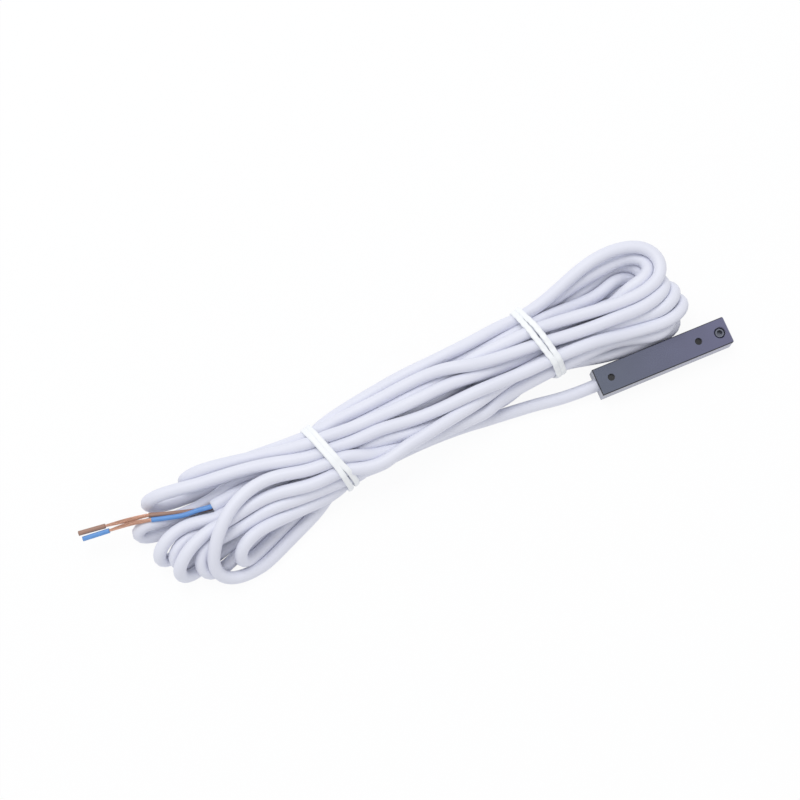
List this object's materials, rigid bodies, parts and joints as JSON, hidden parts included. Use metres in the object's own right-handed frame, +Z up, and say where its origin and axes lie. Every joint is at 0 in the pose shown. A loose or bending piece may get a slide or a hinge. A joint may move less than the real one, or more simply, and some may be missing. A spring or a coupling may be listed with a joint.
{
  "type": "reed switch sensor with lead cable",
  "caption": "Slim black moulded reed switch for a cylinder groove, with a clamping set screw and a long grey two-core lead folded into a tied hank with stripped ends.",
  "frame": {"origin": "centre of the switch case's underside", "axes": "+X along the case from the cable end to the screw end, +Z up out of the face with the set screw"},
  "size_m": [0.1781, 0.0408, 0.0143],
  "materials": {
    "case_plastic": "moulded satin",
    "potting_resin": "cast gloss",
    "screw_steel": "turned",
    "board_laminate": "matte",
    "copper": "drawn",
    "capsule_glass": "polished",
    "reed_alloy": "plated",
    "solder": "bright",
    "cable_jacket": "satin vinyl",
    "brown_insulation": "satin vinyl",
    "blue_insulation": "satin vinyl",
    "tie_plastic": "satin"
  },
  "bodies": {
    "switch": {"case": "case_plastic", "potting": "potting_resin", "circuit_board": "board_laminate", "copper_tracks": "copper", "glass_capsule": "capsule_glass", "rear_reed_solder": "solder", "front_reed_solder": "solder", "brown_solder": "solder", "blue_solder": "solder", "brown_core_inner": "brown_insulation", "blue_core_inner": "blue_insulation", "brown_wire_inner": "copper", "blue_wire_inner": "copper", "lead_cable": "cable_jacket", "cable_hank": "cable_jacket", "cable_tail": "cable_jacket", "brown_core": "brown_insulation", "blue_core": "blue_insulation", "brown_conductor": "copper", "blue_conductor": "copper", "brown_slug": "brown_insulation", "blue_slug": "blue_insulation", "left_tie": "tie_plastic", "right_tie": "tie_plastic"},
    "screw": {"set_screw": "screw_steel"},
    "rear_blade": {"rear_reed": "reed_alloy"},
    "front_blade": {"front_reed": "reed_alloy"}
  },
  "joints": [
    {"name": "screw_turn", "type": "hinge", "parent": "switch", "child": "screw", "pos_m": [0.0164, 0, 0.003], "axis": [0, 0, 1], "continuous": true},
    {"name": "rear_reed_flex", "type": "hinge", "parent": "switch", "child": "rear_blade", "pos_m": [-0.0037, 0, 0.00298], "axis": [0, 1, 0], "range_deg": [0, 0.33], "stiffness_Nm_per_rad": 0.005},
    {"name": "front_reed_flex", "type": "hinge", "parent": "switch", "child": "front_blade", "pos_m": [0.0059, 0, 0.00298], "axis": [0, 1, 0], "range_deg": [0, 0.33], "stiffness_Nm_per_rad": 0.005}
  ],
  "couplings": [
    {"joint": "front_reed_flex", "follows": "rear_reed_flex", "ratio": 1}
  ]
}
